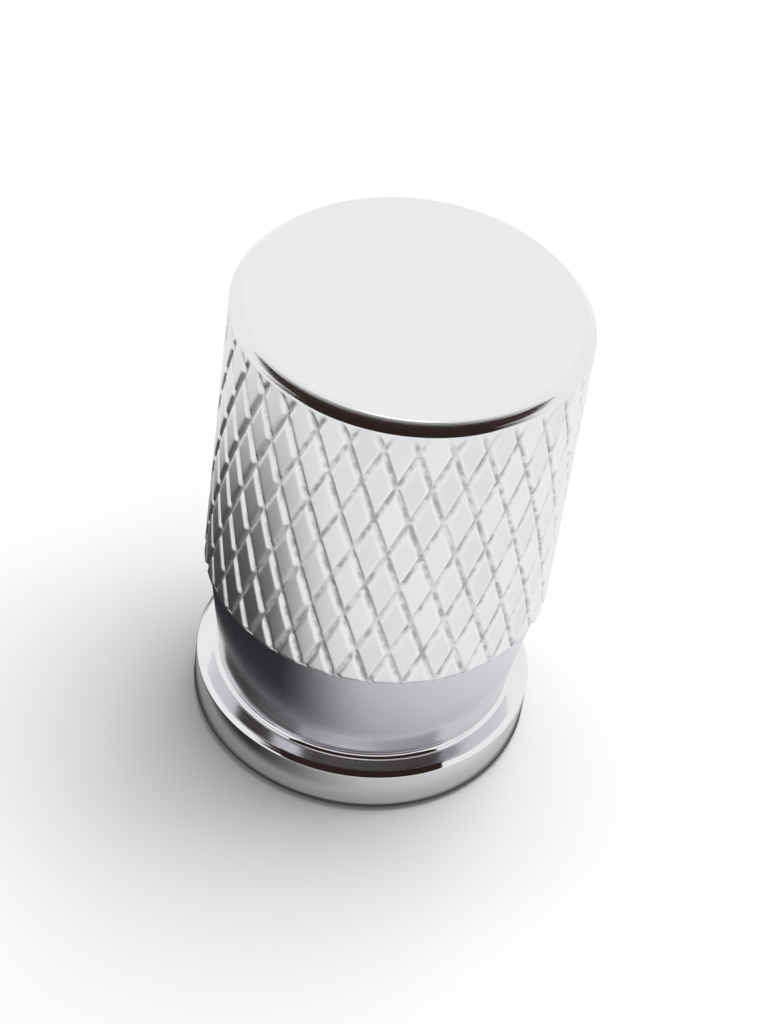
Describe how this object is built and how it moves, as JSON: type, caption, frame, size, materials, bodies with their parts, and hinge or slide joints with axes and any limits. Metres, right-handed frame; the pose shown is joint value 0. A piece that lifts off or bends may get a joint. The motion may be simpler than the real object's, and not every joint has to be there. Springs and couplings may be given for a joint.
{
  "type": "tyre valve cap",
  "caption": "Knurled metal cap for a tyre valve: closed flat head, diamond-knurled grip, tapered neck and a flanged mouth with a blind threaded hole.",
  "frame": {"origin": "centre of the mouth, on the plane that the cap stands on", "axes": "+Z along the cap's axis from the mouth to the closed head; X and Y are alike"},
  "size_m": [0.011, 0.011, 0.0165],
  "materials": {
    "bright_aluminium": "bright turned aluminium, satin on the head and on the knurled grip"
  },
  "bodies": {
    "root": {"valve_cap": "bright_aluminium"}
  },
  "joints": []
}
